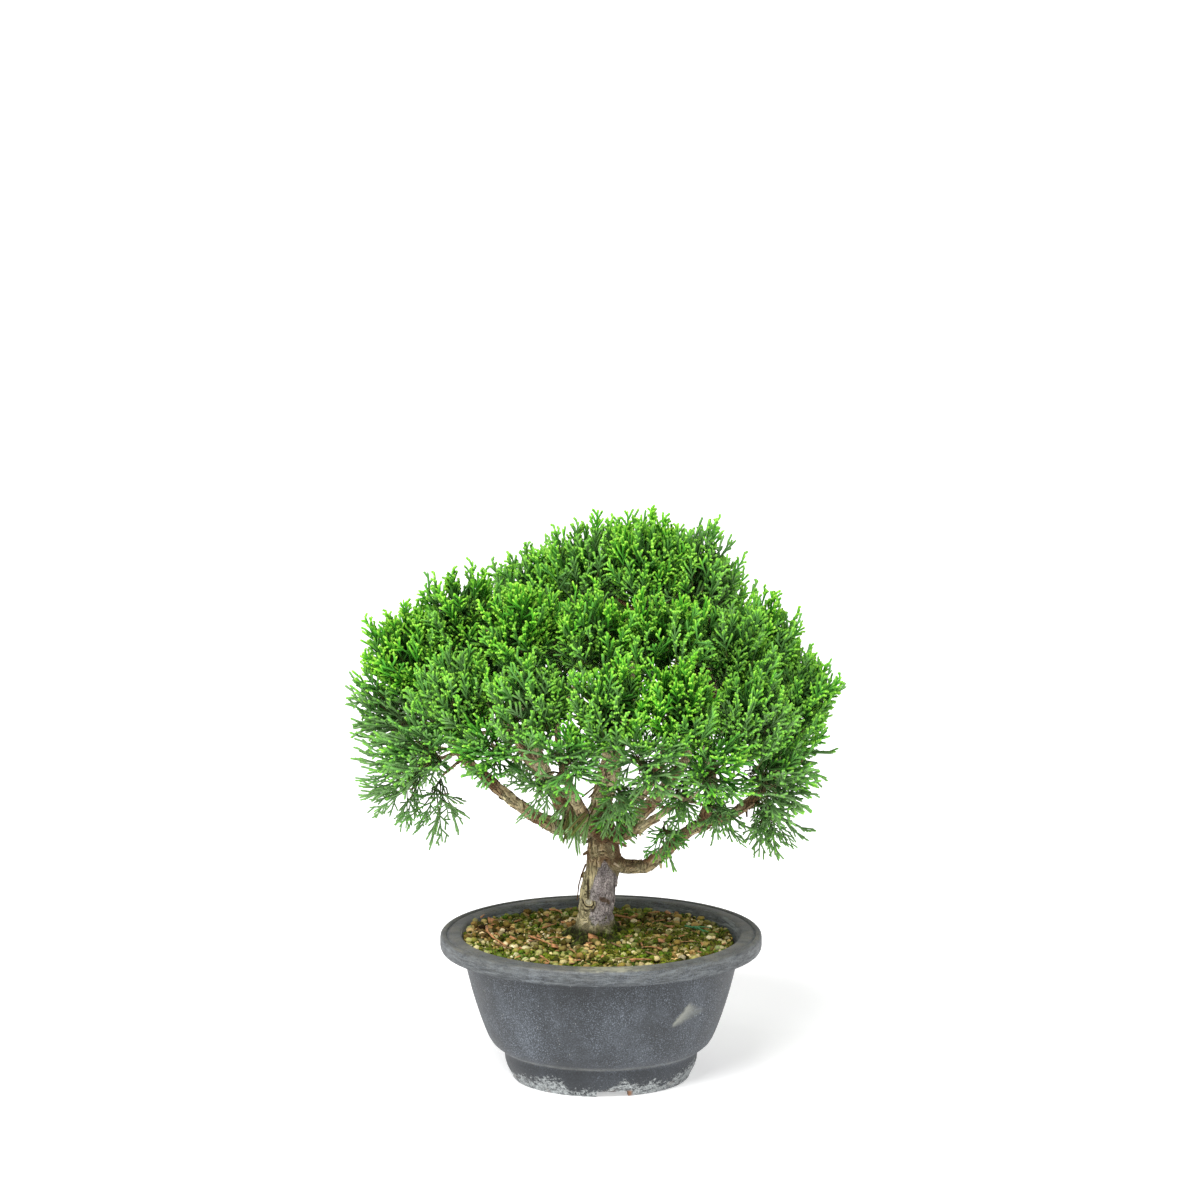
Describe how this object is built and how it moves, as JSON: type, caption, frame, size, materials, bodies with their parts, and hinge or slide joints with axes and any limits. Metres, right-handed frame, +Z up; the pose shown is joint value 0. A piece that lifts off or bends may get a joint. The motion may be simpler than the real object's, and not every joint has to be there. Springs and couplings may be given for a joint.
{
  "type": "chinese juniper bonsai",
  "caption": "Small juniper bonsai with a dense domed crown on a short trunk, planted in a round grey pot with a flat turned-out lip and a stepped foot.",
  "frame": {"origin": "on the ground, on the pot's own axis, which is also the middle of the part's box within about 2 mm", "axes": "+Z up along the pot's axis; -Y towards the tree's front, the side seen in the picture; +X to the right of that view"},
  "size_m": [0.2465, 0.2206, 0.2923],
  "materials": {
    "pot": "matte, unglazed, weathered, with lime marks at the foot",
    "soil": "loose grains of tan, brown and grey grit with moss",
    "bark": "matte, peeling, purple-grey below and brown above",
    "foliage": "satin scale leaves, lime green at the tips and blue-green inside",
    "net": "moulded plastic"
  },
  "bodies": {
    "root": {"pot": "pot", "drain_mesh": "net", "soil": "soil", "wood": "bark", "foliage_top_front": "foliage", "foliage_top_right": "foliage", "foliage_top_left": "foliage", "foliage_top_far_left": "foliage", "foliage_top_back": "foliage", "foliage_top_back_left": "foliage", "foliage_shoulder_left": "foliage", "foliage_shoulder_front_left": "foliage", "foliage_shoulder_front": "foliage", "foliage_shoulder_front_right": "foliage", "foliage_shoulder_right": "foliage", "foliage_shoulder_far_right": "foliage", "foliage_shoulder_back_right": "foliage", "foliage_shoulder_back_left": "foliage", "foliage_left_front": "foliage", "foliage_middle_front_far_left": "foliage", "foliage_middle_front_left": "foliage", "foliage_middle_front": "foliage", "foliage_middle_front_right": "foliage", "foliage_middle_front_far_right": "foliage", "foliage_right_front": "foliage", "foliage_left_back": "foliage", "foliage_right_back": "foliage", "foliage_middle_back_left": "foliage", "foliage_middle_back_right": "foliage", "foliage_middle_back_far_right": "foliage", "foliage_middle_back_far_left": "foliage", "foliage_left_edge": "foliage", "foliage_low_front_far_left": "foliage", "foliage_low_front_left": "foliage", "foliage_low_front_middle_left": "foliage", "foliage_low_front_middle": "foliage", "foliage_low_front_right": "foliage", "foliage_low_front_far_right": "foliage", "foliage_right_edge": "foliage", "foliage_low_back_left": "foliage", "foliage_low_back_middle": "foliage", "foliage_low_back_right": "foliage", "foliage_low_back_far_right": "foliage", "foliage_low_back_far_left": "foliage", "foliage_low_back_edge_left": "foliage", "foliage_hanging_left": "foliage", "foliage_hanging_left_inner": "foliage", "foliage_hanging_left_back": "foliage", "foliage_hanging_front_left": "foliage", "foliage_hanging_front": "foliage", "foliage_hanging_front_right": "foliage", "foliage_hanging_right": "foliage", "foliage_hanging_right_inner": "foliage", "foliage_hanging_right_back": "foliage", "foliage_hanging_back_left": "foliage", "foliage_hanging_back": "foliage", "foliage_hanging_back_right": "foliage", "foliage_on_trunk": "foliage", "foliage_on_right_limb": "foliage"}
  },
  "joints": []
}
